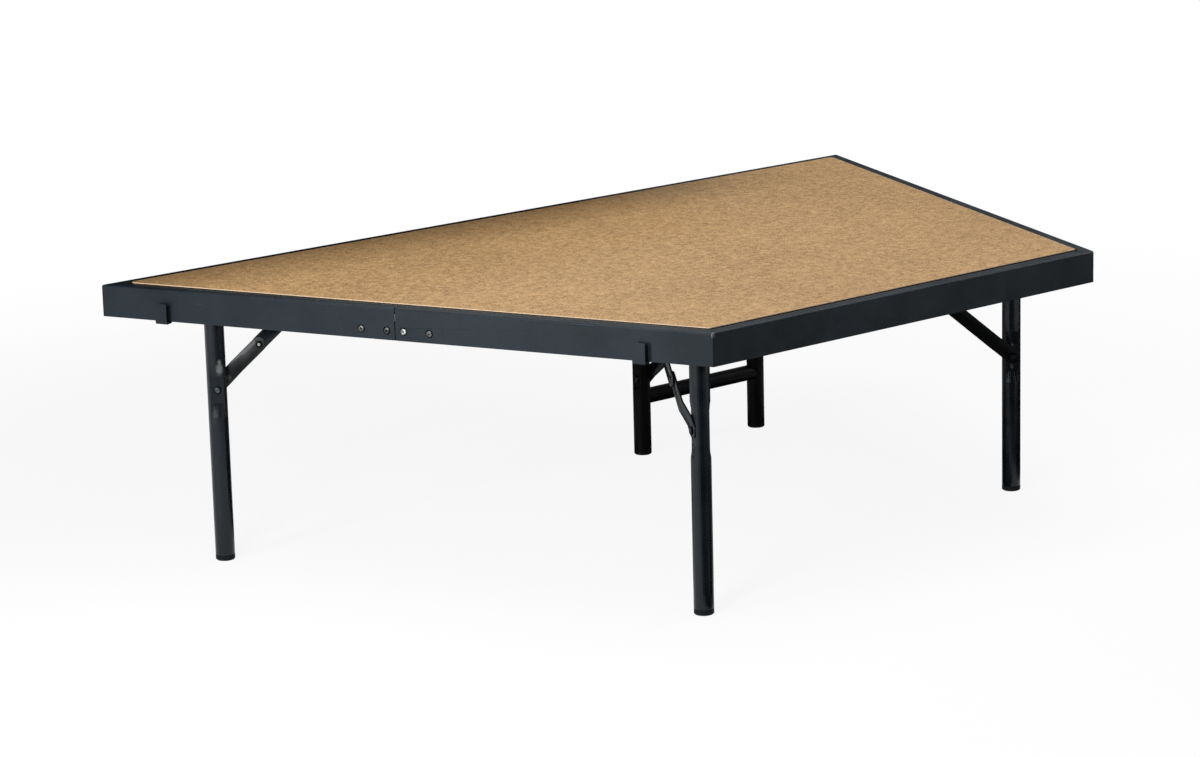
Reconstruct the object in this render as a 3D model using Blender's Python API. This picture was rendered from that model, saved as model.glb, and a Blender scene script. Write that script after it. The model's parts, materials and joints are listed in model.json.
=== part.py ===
"""A pie-shaped stage deck: a trapezoid hardboard top in a steel edge frame, on five folding legs.

X runs along the long side, Y from the short side to the long side and Z up, in metres.
The origin is on the floor under the middle of the deck's bounding box.
"""
import math

import bmesh
import bpy
from mathutils import Matrix, Vector

# Deck outline and height
LONG_SIDE = 1.524
SHORT_SIDE = 0.7747
DEPTH = 0.9144
FRAME_TOP = 0.4064

# Edge rail section: outer wall, top flange, drop wall beside the panel and the ledge that carries it
RAIL_HEIGHT = 0.0476
RAIL_WALL = 0.002
FLANGE_WIDTH = 0.019
LEDGE_WIDTH = 0.021
RAIL_EDGE_RADIUS = 0.003
FLANGE_EDGE_RADIUS = 0.0008
SEAM_GAP = 0.0012

# Deck panel
HARDBOARD_THICKNESS = 0.0032
PLYWOOD_THICKNESS = 0.0095
PANEL_PROUD = 0.0016
PANEL_EDGE_GAP = 0.0032
PANEL_CORNER_RADIUS = 0.006

# Members under the panel
MEMBER_WIDTH = 0.040
MEMBER_DEPTH = 0.022
MEMBER_WALL = 0.002

# Splice of the left rail
SPLICE_LENGTH = 0.140
SPLICE_HEIGHT = 0.027
SPLICE_THICKNESS = 0.003
SPLICE_SCREW_DROP = 0.034
SPLICE_SCREW_INNER = 0.0135
SPLICE_SCREW_OUTER = 0.055
SCREW_HEAD_RADIUS = 0.0050
SCREW_SHANK_RADIUS = 0.0030
SCREW_DOME = 0.0009
SCREW_TAIL = 0.0060
NUT_RADIUS = 0.0052
NUT_THICKNESS = 0.0032
COUNTERSINK_RADIUS = 0.0061

# Ganging clips that hook under the left rail
CLIP_WIDTH = 0.019
CLIP_HEIGHT = 0.030
CLIP_WALL = 0.0025
CLIP_STANDOFF = 0.010
CLIP_BEND_RADIUS = 0.0024
CLIP_FROM_CORNER = 0.1075

# Leg tubes and feet
LEG_RADIUS = 0.0143
LEG_WALL = 0.0016
LEG_TOP = 0.009
SWING_CLEARANCE = 0.0017
PRESS_DEPTH = 0.0043
PRESS_FLAT = 0.020
PRESS_RAMP = 0.020
PAIR_PRESS_FLAT_BELOW = 0.012
PAIR_PRESS_RAMP_BELOW = 0.005
FOOT_HEIGHT = 0.008
FOOT_PLUG = 0.022
FOOT_CHAMFER = 0.0015
FOOT_DISH = 0.0012

# Places of the legs, from the outer faces of the sides that they stand by
REAR_LEFT_FROM_LEFT = 0.0236
REAR_LEFT_FROM_LONG = 0.1544
FRONT_LEFT_FROM_LEFT = 0.0304
FRONT_LEFT_FROM_SHORT = 0.0444
FRONT_RIGHT_FROM_RIGHT = 0.0463
FRONT_RIGHT_FROM_SHORT = 0.1895
PAIR_FROM_LONG = 0.1344
PAIR_LEFT_X = 0.1753
PAIR_SPACING = 0.2557
FRONT_LEFT_HEADING = math.radians(65)
FRONT_RIGHT_HEADING = math.radians(142)
PAIR_HEADING = math.radians(-90)

# Folding pair of legs
CROSSBAR_RADIUS = 0.0127
CROSSBAR_HEIGHT = 0.095
CLEVIS_HEIGHT = 0.032
CLEVIS_BACK_CLEARANCE = 0.0008

# Leg hinge: bracket, ears and pivot bolt
BRACKET_WALL = 0.0025
BRACKET_HALF_WIDTH = 0.0180
EAR_CLEARANCE = 0.0004
EAR_HALF_LENGTH = 0.012
EAR_DROP = 0.012
PIVOT_RADIUS = 0.004
PIVOT_HEAD_RADIUS = 0.0070
PIVOT_HEAD_HEIGHT = 0.0026
BRACKET_BACK = 0.012
BRACKET_BACK_LONG = 0.030
JOGGLE_RAMP = 0.008
TAB_HALF_LENGTH = 0.014
TAB_DROP = 0.011
TAB_MARGIN = 0.0006

# Brace: a lower and an upper link that lie in line when the leg stands, and fold flat with it
LINK_THICKNESS = 0.0025
LINK_RADIUS = 0.011
LINK_JOGGLE = 0.006
JOGGLE_START = 0.016
JOGGLE_LENGTH = 0.026
BRACE_PIN_RADIUS = 0.003
BRACE_REACH = 0.122
REAR_LEFT_PIN_DROP = 0.113
FRONT_LEFT_PIN_DROP = 0.109
LONG_BRACE_PIN_DROP = 0.157
LONG_BRACE_REACH = 0.183
PAIR_BRACE_PIN_DROP = 0.245
PAIR_BRACE_REACH = 0.249
BOLT_HEAD_RADIUS = 0.0060
BOLT_HEAD_HEIGHT = 0.0020
RIVET_HEAD_RADIUS = 0.0052
RIVET_HEAD_HEIGHT = 0.0012
BOSS_HEIGHT = 0.0015
ANCHOR_HEAD_HEIGHT = 0.0022
ANCHOR_PLATE_HALF_WIDTH = 0.015
ANCHOR_SCREW_PITCH = 0.024
WOOD_SCREW_RADIUS = 0.0021
WOOD_SCREW_HEAD_RADIUS = 0.0042
WOOD_SCREW_HEAD_HEIGHT = 0.0016
WOOD_SCREW_BITE = 0.007

# Gaps between pieces that touch, and between a pin and its hole
GAP = 0.0003
PIN_CLEARANCE = 0.0003
ROUND_SEGMENTS = 32
PIN_SEGMENTS = 20

# Heights that follow from the stack of pieces
PANEL_TOP = FRAME_TOP + PANEL_PROUD
PLYWOOD_TOP = PANEL_TOP - HARDBOARD_THICKNESS - GAP
PLYWOOD_BOTTOM = PLYWOOD_TOP - PLYWOOD_THICKNESS
LEDGE_TOP = PLYWOOD_BOTTOM - GAP
LEDGE_BOTTOM = LEDGE_TOP - RAIL_WALL
RAIL_BOTTOM = FRAME_TOP - RAIL_HEIGHT
BRACKET_TOP = LEDGE_BOTTOM - GAP
BRACKET_BOTTOM = BRACKET_TOP - BRACKET_WALL
LEG_SWING = math.hypot(LEG_RADIUS, LEG_TOP)
PIVOT_Z = BRACKET_BOTTOM - LEG_SWING - SWING_CLEARANCE
LEDGE_EDGE = FLANGE_WIDTH + LEDGE_WIDTH

# Planes beside a leg tube, outward from its axis: ears, pressed face, both links and anchor tab
EAR_INNER = LEG_RADIUS + EAR_CLEARANCE
EAR_OUTER = EAR_INNER + BRACKET_WALL
PRESSED_FACE = LEG_RADIUS - PRESS_DEPTH
LOWER_LINK_INNER = PRESSED_FACE + GAP
UPPER_LINK_INNER = LOWER_LINK_INNER + LINK_JOGGLE + LINK_THICKNESS + GAP
TAB_INNER = UPPER_LINK_INNER + LINK_THICKNESS + GAP
TAB_OUTER = TAB_INNER + BRACKET_WALL

CORNERS = {
    "rear_left": Vector((-LONG_SIDE / 2, DEPTH / 2)),
    "front_left": Vector((-SHORT_SIDE / 2, -DEPTH / 2)),
    "front_right": Vector((SHORT_SIDE / 2, -DEPTH / 2)),
    "rear_right": Vector((LONG_SIDE / 2, DEPTH / 2)),
}
SIDES = {
    "left": ("rear_left", "front_left"),
    "short": ("front_left", "front_right"),
    "right": ("front_right", "rear_right"),
    "long": ("rear_right", "rear_left"),
}
BEFORE = {"left": "long", "short": "left", "right": "short", "long": "right"}
AFTER = {"left": "short", "short": "right", "right": "long", "long": "left"}


def clear_scene():
    for old in list(bpy.data.objects):
        bpy.data.objects.remove(old, do_unlink=True)


def material(name, colour, roughness, metallic):
    made = bpy.data.materials.new(name)
    made.use_nodes = True
    shader = made.node_tree.nodes["Principled BSDF"]
    shader.inputs["Base Color"].default_value = (*colour, 1.0)
    shader.inputs["Roughness"].default_value = roughness
    shader.inputs["Metallic"].default_value = metallic
    made.diffuse_color = (*colour, 1.0)
    return made


# Small geometry helpers

def direction(side):
    """Unit vector along a side, with the deck on its left."""
    start, end = (CORNERS[c] for c in SIDES[side])
    return (end - start).normalized()


def inward(side):
    along = direction(side)
    return Vector((-along.y, along.x))


def meeting_point(side_a, inset_a, side_b, inset_b):
    """The point that lies inset_a inside side_a and inset_b inside side_b."""
    na, nb = inward(side_a), inward(side_b)
    ca = na.dot(CORNERS[SIDES[side_a][0]]) + inset_a
    cb = nb.dot(CORNERS[SIDES[side_b][0]]) + inset_b
    det = na.x * nb.y - na.y * nb.x
    return Vector(((ca * nb.y - cb * na.y) / det, (na.x * cb - nb.x * ca) / det))


def arc(cx, cy, radius, start, end, steps):
    """Points of an arc, angles in degrees."""
    angles = [math.radians(start + (end - start) * i / steps) for i in range(steps + 1)]
    return [(cx + radius * math.cos(a), cy + radius * math.sin(a)) for a in angles]


def circle(cx, cy, radius, segments=PIN_SEGMENTS):
    return arc(cx, cy, radius, 0, 360 * (segments - 1) / segments, segments - 1)


def slot_outline(length, radius, steps=10):
    """A bar with round ends, from a hole centre at 0 to one at length."""
    return arc(length, 0, radius, -90, 90, steps) + arc(0, 0, radius, 90, 270, steps)


def extruded(loops, low, high):
    """A plate from an outer loop and any hole loops in XY, between two heights."""
    bm = bmesh.new()
    for loop in loops:
        verts = [bm.verts.new((x, y, low)) for x, y in loop]
        for a, b in zip(verts, verts[1:] + verts[:1]):
            bm.edges.new((a, b))
    bmesh.ops.triangle_fill(bm, use_beauty=True, edges=bm.edges[:])
    made = bmesh.ops.extrude_face_region(bm, geom=bm.faces[:])
    moved = [v for v in made["geom"] if isinstance(v, bmesh.types.BMVert)]
    bmesh.ops.translate(bm, verts=moved, vec=(0, 0, high - low))
    bmesh.ops.recalc_face_normals(bm, faces=bm.faces[:])
    return bm


def lofted(start, end):
    """A bar between two matching closed loops of points in space."""
    bm = bmesh.new()
    a = [bm.verts.new(p) for p in start]
    b = [bm.verts.new(p) for p in end]
    count = len(a)
    for i in range(count):
        j = (i + 1) % count
        bm.faces.new((a[i], a[j], b[j], b[i]))
    caps = [bm.faces.new(a), bm.faces.new(b)]
    bm.normal_update()
    bmesh.ops.triangulate(bm, faces=caps, ngon_method="EAR_CLIP")
    bmesh.ops.recalc_face_normals(bm, faces=bm.faces[:])
    return bm


def turned(profile, segments=PIN_SEGMENTS):
    """A round piece about Z, from its (radius, height) points, bottom to top."""
    bm = bmesh.new()
    rings = []
    for radius, height in profile:
        if radius == 0:
            rings.append([bm.verts.new((0, 0, height))])
        else:
            rings.append([bm.verts.new((x, y, height)) for x, y in circle(0, 0, radius, segments)])
    for low, high in zip(rings, rings[1:]):
        for i in range(segments):
            j = (i + 1) % segments
            face = [low[i % len(low)], low[j % len(low)], high[j % len(high)], high[i % len(high)]]
            bm.faces.new(list(dict.fromkeys(face)))
    bmesh.ops.recalc_face_normals(bm, faces=bm.faces[:])
    return bm


def block(x, y, z):
    """A plain block between the (low, high) pairs of each axis."""
    return extruded([[(x[0], y[0]), (x[1], y[0]), (x[1], y[1]), (x[0], y[1])]], *z)


def turn_axis(bm, axis):
    """Turns a piece made about Z to lie along X or Y, its low end first."""
    angle, about = {"X": (math.pi / 2, "Y"), "Y": (-math.pi / 2, "X")}[axis]
    bmesh.ops.rotate(bm, verts=bm.verts[:], matrix=Matrix.Rotation(angle, 3, about))
    return bm


def shifted(bm, offset):
    bmesh.ops.translate(bm, verts=bm.verts[:], vec=offset)
    return bm


def add(name, bm, finish=None, parent=None, place=None):
    """Makes an object of a mesh, shaded smooth but for its real edges."""
    mesh = bpy.data.meshes.new(name)
    bm.to_mesh(mesh)
    bm.free()
    mesh.shade_smooth()
    mesh.set_sharp_from_angle(angle=math.radians(32))
    made = bpy.data.objects.new(name, mesh)
    bpy.context.scene.collection.objects.link(made)
    if finish:
        mesh.materials.append(finish)
    made.parent = parent
    made.matrix_local = place or Matrix.Identity(4)
    return made


def cut(target, bm, parent=None, place=None, operation="DIFFERENCE"):
    """Cuts a closed shape out of an object, or joins it on."""
    number = len(target.modifiers) + 1
    tool = add(f"{target.name}_tool_{number}", bm, parent=parent, place=place)
    tool.hide_render = True
    tool.display_type = "WIRE"
    modifier = target.modifiers.new(f"{operation.lower()}_{number}", "BOOLEAN")
    modifier.operation = operation
    modifier.solver = "EXACT"
    modifier.object = tool
    return tool


def guide(name, place, parent=None):
    """An empty that marks a hinge axis."""
    made = bpy.data.objects.new(name, None)
    bpy.context.scene.collection.objects.link(made)
    made.parent = parent
    made.matrix_local = place
    return made


# Deck frame

def rail_section():
    """The rail's section as (inset from the outer face, height above the rail's bottom)."""
    top = RAIL_HEIGHT
    ledge_low = LEDGE_BOTTOM - RAIL_BOTTOM
    ledge_high = LEDGE_TOP - RAIL_BOTTOM
    outer, inner = RAIL_EDGE_RADIUS, max(RAIL_EDGE_RADIUS - RAIL_WALL, RAIL_WALL / 4)
    lip = min(FLANGE_EDGE_RADIUS, RAIL_WALL / 2)
    under = top - RAIL_WALL
    points = [(0, 0)]
    points += arc(outer, top - outer, outer, 180, 90, 5)
    points += arc(FLANGE_WIDTH - lip, top - lip, lip, 90, 0, 3)
    points += [(FLANGE_WIDTH, ledge_high), (LEDGE_EDGE, ledge_high), (LEDGE_EDGE, ledge_low)]
    points += [(FLANGE_WIDTH - RAIL_WALL, ledge_low), (FLANGE_WIDTH - RAIL_WALL, under)]
    points += arc(RAIL_WALL + inner, under - inner, inner, 90, 180, 2)
    points += [(RAIL_WALL, 0)]
    return points


def mitre_end(side, at_start, inset):
    """Where the rail's length ends at this inset, on the mitre with its neighbour."""
    neighbour = BEFORE[side] if at_start else AFTER[side]
    corner = meeting_point(side, inset, neighbour, inset)
    along = direction(side)
    turn = along.angle(direction(neighbour))
    back = GAP / 2 / math.sin((math.pi - turn) / 2)
    return corner + along * (back if at_start else -back)


def seam_end(side, at_start, inset):
    """Where a half rail ends at the seam in the middle of its side."""
    start, end = (CORNERS[c] for c in SIDES[side])
    reach = SEAM_GAP / 2 * (1 if at_start else -1)
    return (start + end) / 2 + direction(side) * reach + inward(side) * inset


def rail(name, side, finish, start=mitre_end, end=mitre_end):
    section = rail_section()
    loops = []
    for at_start, place in ((True, start), (False, end)):
        flat = [(place(side, at_start, inset), height) for inset, height in section]
        loops.append([(p.x, p.y, RAIL_BOTTOM + height) for p, height in flat])
    return add(name, lofted(*loops), finish)


def side_frame(side, distance, height):
    """Axes on a side's outer face: X along the side, Y inward and Z up."""
    along, inner = direction(side), inward(side)
    origin = CORNERS[SIDES[side][0]] + along * distance
    return Matrix((
        (along.x, inner.x, 0, origin.x),
        (along.y, inner.y, 0, origin.y),
        (0, 0, 1, height),
        (0, 0, 0, 1),
    ))


def splice_screw_places():
    return [-SPLICE_SCREW_OUTER, -SPLICE_SCREW_INNER, SPLICE_SCREW_INNER, SPLICE_SCREW_OUTER]


def splice(rear_rail, front_rail, steel, zinc):
    """The plate behind the left rail's seam, and the four screws that hold it."""
    start, end = (CORNERS[c] for c in SIDES["left"])
    middle = side_frame("left", (end - start).length / 2, FRAME_TOP - SPLICE_SCREW_DROP)
    inner = RAIL_WALL + GAP
    half, rise = SPLICE_LENGTH / 2, SPLICE_HEIGHT / 2
    plate = block((-half, half), (inner, inner + SPLICE_THICKNESS), (-rise, rise))
    plate = add("splice_plate", plate, steel, place=middle)
    back = inner + SPLICE_THICKNESS + GAP
    for number, at in enumerate(splice_screw_places(), 1):
        place = middle @ Matrix.Translation((at, 0, 0))
        hole = SCREW_SHANK_RADIUS + PIN_CLEARANCE
        sink = turned([(0, -RAIL_WALL), (COUNTERSINK_RADIUS + RAIL_WALL, -RAIL_WALL),
                       (hole, COUNTERSINK_RADIUS - hole), (hole, back), (0, back)])
        cut(rear_rail if at < 0 else front_rail, turn_axis(sink, "Y"), place=place)
        bore = turned([(0, 0), (hole, 0), (hole, back), (0, back)])
        cut(plate, turn_axis(bore, "Y"), place=place)
        head = SCREW_HEAD_RADIUS
        cone = head - SCREW_SHANK_RADIUS
        profile = [(0, -SCREW_DOME), (head * 0.55, -SCREW_DOME * 0.75), (head, 0),
                   (SCREW_SHANK_RADIUS, cone), (SCREW_SHANK_RADIUS, back), (NUT_RADIUS, back),
                   (NUT_RADIUS, back + NUT_THICKNESS),
                   (SCREW_SHANK_RADIUS, back + NUT_THICKNESS),
                   (SCREW_SHANK_RADIUS, back + SCREW_TAIL), (0, back + SCREW_TAIL)]
        screw = turn_axis(turned(profile), "Y")
        add(f"splice_screw_{number}", screw, zinc, place=place)


def clip(name, distance, finish):
    """A ganging clip: an inner leg behind the rail's wall, a bend under it and a leg that stands off."""
    out_low, out_high = -CLIP_STANDOFF, -CLIP_STANDOFF + CLIP_WALL
    in_low = RAIL_WALL + GAP
    in_high = in_low + CLIP_WALL
    low = -GAP - CLIP_WALL
    bend, fold = CLIP_BEND_RADIUS, max(CLIP_BEND_RADIUS - CLIP_WALL, CLIP_WALL / 5)
    points = [(out_low, low + CLIP_HEIGHT)]
    points += arc(out_low + bend, low + bend, bend, 180, 270, 4)
    points += arc(in_high - bend, low + bend, bend, 270, 360, 4)
    points += [(in_high, low + CLIP_HEIGHT), (in_low, low + CLIP_HEIGHT)]
    points += arc(in_low - fold, -GAP + fold, fold, 360, 270, 2)
    points += arc(out_high + fold, -GAP + fold, fold, 270, 180, 2)
    points += [(out_high, low + CLIP_HEIGHT)]
    half = CLIP_WIDTH / 2
    shape = lofted([(-half, y, z) for y, z in points], [(half, y, z) for y, z in points])
    return add(name, shape, finish, place=side_frame("left", distance, RAIL_BOTTOM))


def panel_outline(corner_radius, steps=5):
    """The panel's outline inside the flange, with rounded corners."""
    inset = FLANGE_WIDTH + PANEL_EDGE_GAP
    points = []
    for side in SIDES:
        before = BEFORE[side]
        centre = meeting_point(before, inset + corner_radius, side, inset + corner_radius)
        first = -inward(before)
        sweep = first.angle(-inward(side))
        base = math.atan2(first.y, first.x)
        for i in range(steps + 1):
            angle = base + sweep * i / steps
            points.append((centre.x + corner_radius * math.cos(angle),
                           centre.y + corner_radius * math.sin(angle)))
    return points


def channel(name, lines, across, finish):
    """An upside-down channel under the panel: lines gives its two ends at each point across it."""
    top = LEDGE_TOP
    low, inner_top = top - MEMBER_DEPTH, top - MEMBER_WALL
    near, far = across
    wall = MEMBER_WALL
    section = [(near, low), (near, top), (far, top), (far, low),
               (far - wall, low), (far - wall, inner_top), (near + wall, inner_top), (near + wall, low)]
    loops = [[(*line(a), z) for a, z in section] for line in lines]
    return add(name, lofted(*loops), finish)


def side_line(side, inset):
    """A function of Y that gives the point at that inset from a slanted side."""
    normal = inward(side)
    offset = normal.dot(CORNERS[SIDES[side][0]]) + inset
    return lambda y: ((offset - normal.y * y) / normal.x, y)


def rear_member_front():
    """Y of the rear member's front face, which the pair's clevis plates stand against."""
    hinge_line = DEPTH / 2 - PAIR_FROM_LONG
    return hinge_line + LEG_SWING + CLEVIS_BACK_CLEARANCE + BRACKET_WALL + GAP


def members(finish):
    front = rear_member_front()
    ends = [side_line("left", LEDGE_EDGE + GAP), side_line("right", LEDGE_EDGE + GAP)]
    channel("rear_cross_member", ends, (front, front + MEMBER_WIDTH), finish)
    near = -DEPTH / 2 + LEDGE_EDGE + GAP
    spine_ends = [lambda x: (x, near), lambda x: (x, front - GAP)]
    channel("centre_member", spine_ends, (-MEMBER_WIDTH / 2, MEMBER_WIDTH / 2), finish)


def deck(steel, hardboard, plywood, zinc):
    rail("rail_long", "long", steel)
    rail("rail_short", "short", steel)
    rail("rail_right", "right", steel)
    rear_rail = rail("rail_left_rear", "left", steel, end=seam_end)
    front_rail = rail("rail_left_front", "left", steel, start=seam_end)
    splice(rear_rail, front_rail, steel, zinc)
    members(steel)
    left_start, left_end = (CORNERS[c] for c in SIDES["left"])
    clip("clip_rear", CLIP_FROM_CORNER, steel)
    clip("clip_front", (left_end - left_start).length - CLIP_FROM_CORNER, steel)
    outline = panel_outline(PANEL_CORNER_RADIUS)
    add("deck_hardboard", extruded([outline], PANEL_TOP - HARDBOARD_THICKNESS, PANEL_TOP), hardboard)
    return add("deck_plywood", extruded([outline], PLYWOOD_BOTTOM, PLYWOOD_TOP), plywood)


# Legs: in a leg's own axes X is the way it folds, Y the side of its brace and Z up

def leg_place(spot, heading, height=0.0):
    return Matrix.Translation((spot.x, spot.y, height)) @ Matrix.Rotation(heading, 4, "Z")


def headed_pin(stack, shank, head, head_height, nut=None):
    """A bolt along Y through (low, high), with a domed head at its low end and perhaps a nut."""
    low, high = stack
    base = low - GAP
    profile = [(0, base - head_height), (head * 0.5, base - head_height * 0.92),
               (head * 0.86, base - head_height * 0.6), (head, base - head_height * 0.2),
               (head, base), (shank, base)]
    if nut:
        nut_radius, nut_height = nut
        face = high + GAP
        profile += [(shank, face), (nut_radius, face), (nut_radius, face + nut_height),
                    (0, face + nut_height)]
    else:
        profile += [(shank, high), (0, high)]
    return turn_axis(turned(profile), "Y")


def tube_mesh(radius, wall, stations):
    """A tube along Z through (height, press) stations, pressed flat on both Y sides by each press."""
    bm = bmesh.new()
    skins = []
    for skin, inset in ((radius, 0), (radius - wall, wall)):
        rings = []
        for height, press in stations:
            limit = radius - press - inset
            points = [(x, min(max(y, -limit), limit)) for x, y in circle(0, 0, skin, ROUND_SEGMENTS)]
            rings.append([bm.verts.new((x, y, height)) for x, y in points])
        skins.append(rings)
    outer, inner = skins
    pairs = list(zip(outer, outer[1:])) + list(zip(inner, inner[1:]))
    pairs += [(outer[0], inner[0]), (outer[-1], inner[-1])]
    for a, b in pairs:
        for i in range(ROUND_SEGMENTS):
            j = (i + 1) % ROUND_SEGMENTS
            bm.faces.new((a[i], a[j], b[j], b[i]))
    bm.normal_update()
    bmesh.ops.triangulate(bm, faces=bm.faces[:])
    bmesh.ops.recalc_face_normals(bm, faces=bm.faces[:])
    return bm


def leg_tube(name, finish, hinge, bolt_drop=None, below=(PRESS_FLAT, PRESS_RAMP)):
    """A tube that hangs from its hinge axis down to its foot, pressed flat where a brace is bolted."""
    low, high = FOOT_HEIGHT + GAP - PIVOT_Z, LEG_TOP
    stations = [(low, 0), (high, 0)]
    if bolt_drop:
        flat, ramp = below
        stations[1:1] = [(-bolt_drop - flat - ramp, 0), (-bolt_drop - flat, PRESS_DEPTH),
                         (-bolt_drop + PRESS_FLAT, PRESS_DEPTH),
                         (-bolt_drop + PRESS_FLAT + PRESS_RAMP, 0)]
    tube = add(name, tube_mesh(LEG_RADIUS, LEG_WALL, stations), finish, parent=hinge)
    reach = LEG_RADIUS * 2
    drops = [(0, PIVOT_RADIUS)] + ([(bolt_drop, BRACE_PIN_RADIUS)] if bolt_drop else [])
    for drop, radius in drops:
        hole = radius + PIN_CLEARANCE
        bore = turned([(0, -reach), (hole, -reach), (hole, reach), (0, reach)])
        cut(tube, shifted(turn_axis(bore, "Y"), (0, 0, -drop)), parent=hinge)
    return tube


def foot(name, finish, hinge):
    plug = LEG_RADIUS - LEG_WALL - GAP
    dish = LEG_RADIUS * 0.55
    profile = [(0, FOOT_DISH), (dish, FOOT_DISH), (dish + FOOT_DISH, 0),
               (LEG_RADIUS - FOOT_CHAMFER, 0), (LEG_RADIUS, FOOT_CHAMFER),
               (LEG_RADIUS, FOOT_HEIGHT), (plug, FOOT_HEIGHT),
               (plug, FOOT_HEIGHT + FOOT_PLUG), (0, FOOT_HEIGHT + FOOT_PLUG)]
    return add(name, shifted(turned(profile, ROUND_SEGMENTS), (0, 0, -PIVOT_Z)), finish, parent=hinge)


def pivot_bolt(name, finish, place):
    stack = (-EAR_OUTER, EAR_OUTER)
    nut = (PIVOT_HEAD_RADIUS, PIVOT_HEAD_HEIGHT)
    return add(name, headed_pin(stack, PIVOT_RADIUS, PIVOT_HEAD_RADIUS, PIVOT_HEAD_HEIGHT, nut),
               finish, place=place)


def ear_shape(inner, outer, root, drop, half):
    """A plate standing along X, round below, hung from root down past its hole at the origin."""
    outline = arc(0, 0, drop, 180, 360, 12)
    outline += [(half, 0.3 * root), (half, root), (-half, root), (-half, 0.3 * root)]
    ear = extruded([outline], -outer, -inner)
    bmesh.ops.rotate(ear, verts=ear.verts[:], matrix=Matrix.Rotation(math.pi / 2, 3, "X"))
    return ear


def clear_of_ledge(spot, heading):
    """How far along the fold direction the bracket's whole width is past the rails' ledges."""
    ahead = Vector((math.cos(heading), math.sin(heading)))
    beside = Vector((-ahead.y, ahead.x))
    reach = EAR_HALF_LENGTH
    for side in SIDES:
        normal = inward(side)
        rate = normal.dot(ahead)
        if rate <= 0:
            continue
        inset = normal.dot(spot - CORNERS[SIDES[side][0]])
        for k in (-BRACKET_HALF_WIDTH, BRACKET_HALF_WIDTH):
            need = LEDGE_EDGE + GAP - inset - k * normal.dot(beside)
            reach = max(reach, need / rate)
    return reach + GAP


def leg_bracket(name, finish, spot, heading, brace_reach, back):
    """One bent plate: a strip under the ledge that steps up to the panel, two ears and a brace tab."""
    place = leg_place(spot, heading, PIVOT_Z)
    top, bottom = BRACKET_TOP - PIVOT_Z, BRACKET_BOTTOM - PIVOT_Z
    step = LEDGE_TOP - BRACKET_TOP
    ramp = clear_of_ledge(spot, heading)
    end = brace_reach + TAB_HALF_LENGTH
    side = [(-back, bottom), (ramp, bottom), (ramp + JOGGLE_RAMP, bottom + step), (end, bottom + step),
            (end, top + step), (ramp + JOGGLE_RAMP, top + step), (ramp, top), (-back, top)]
    width = BRACKET_HALF_WIDTH
    strip = lofted([(x, -width, z) for x, z in side], [(x, width, z) for x, z in side])
    bracket = add(name, strip, finish, place=place)
    wing = block((brace_reach - TAB_HALF_LENGTH, end), (width - BRACKET_WALL, TAB_OUTER + TAB_MARGIN),
                 (bottom + step, top + step))
    cut(bracket, wing, place=place, operation="UNION")
    root = bottom + BRACKET_WALL / 2
    for inner, outer in ((EAR_INNER, EAR_OUTER), (-EAR_OUTER, -EAR_INNER)):
        ear = ear_shape(inner, outer, root, EAR_DROP, EAR_HALF_LENGTH)
        cut(bracket, ear, place=place, operation="UNION")
    tab = ear_shape(TAB_INNER, TAB_OUTER, root + step, TAB_DROP, TAB_DROP)
    cut(bracket, shifted(tab, (brace_reach, 0, 0)), place=place, operation="UNION")
    for at, radius, span in ((0, PIVOT_RADIUS, (-EAR_OUTER, EAR_OUTER)),
                             (brace_reach, BRACE_PIN_RADIUS, (TAB_INNER, TAB_OUTER))):
        hole, low, high = radius + PIN_CLEARANCE, span[0] - BRACKET_WALL, span[1] + BRACKET_WALL
        bore = turned([(0, low), (hole, low), (hole, high), (0, high)])
        cut(bracket, shifted(turn_axis(bore, "Y"), (at, 0, 0)), place=place)
    return bracket


def lower_link(length):
    """The link on the leg: flat by the tube, stepped outward before it reaches the upper link."""
    hole = BRACE_PIN_RADIUS + PIN_CLEARANCE
    loops = [slot_outline(length, LINK_RADIUS), circle(0, 0, hole), circle(length, 0, hole)]
    bm = extruded(loops, 0, LINK_THICKNESS)
    finish_at = JOGGLE_START + JOGGLE_LENGTH
    for station in (JOGGLE_START, finish_at):
        everything = bm.verts[:] + bm.edges[:] + bm.faces[:]
        bmesh.ops.bisect_plane(bm, geom=everything, plane_co=(station, 0, 0), plane_no=(1, 0, 0))
    for vert in bm.verts:
        share = (vert.co.x - JOGGLE_START) / JOGGLE_LENGTH
        vert.co.z += LINK_JOGGLE * min(max(share, 0.0), 1.0)
    bm.normal_update()
    bmesh.ops.triangulate(bm, faces=bm.faces[:])
    return bm


def upper_link(length):
    hole = BRACE_PIN_RADIUS + PIN_CLEARANCE
    return extruded([slot_outline(length, LINK_RADIUS), circle(0, 0, hole)], 0, LINK_THICKNESS)


def link_place(x, z, pitch, offset):
    """A link's flat made in XY, stood up in the fold plane at a pitch, outward from an offset."""
    stand = Matrix.Rotation(math.pi / 2, 4, "X")
    mirror = Matrix.Rotation(math.pi, 4, "X")
    return (Matrix.Translation((x, offset, z)) @ Matrix.Rotation(-pitch, 4, "Y") @ stand @ mirror)


def brace_shape(drop, reach, outward):
    """Lower and upper link lengths and the brace's pitch, so that both links lie flat when folded."""
    span, over = math.hypot(reach, drop), reach - drop
    longer, shorter = (span + over) / 2, (span - over) / 2
    lengths = (longer, shorter) if outward else (shorter, longer)
    return (*lengths, math.atan2(drop, reach))


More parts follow.
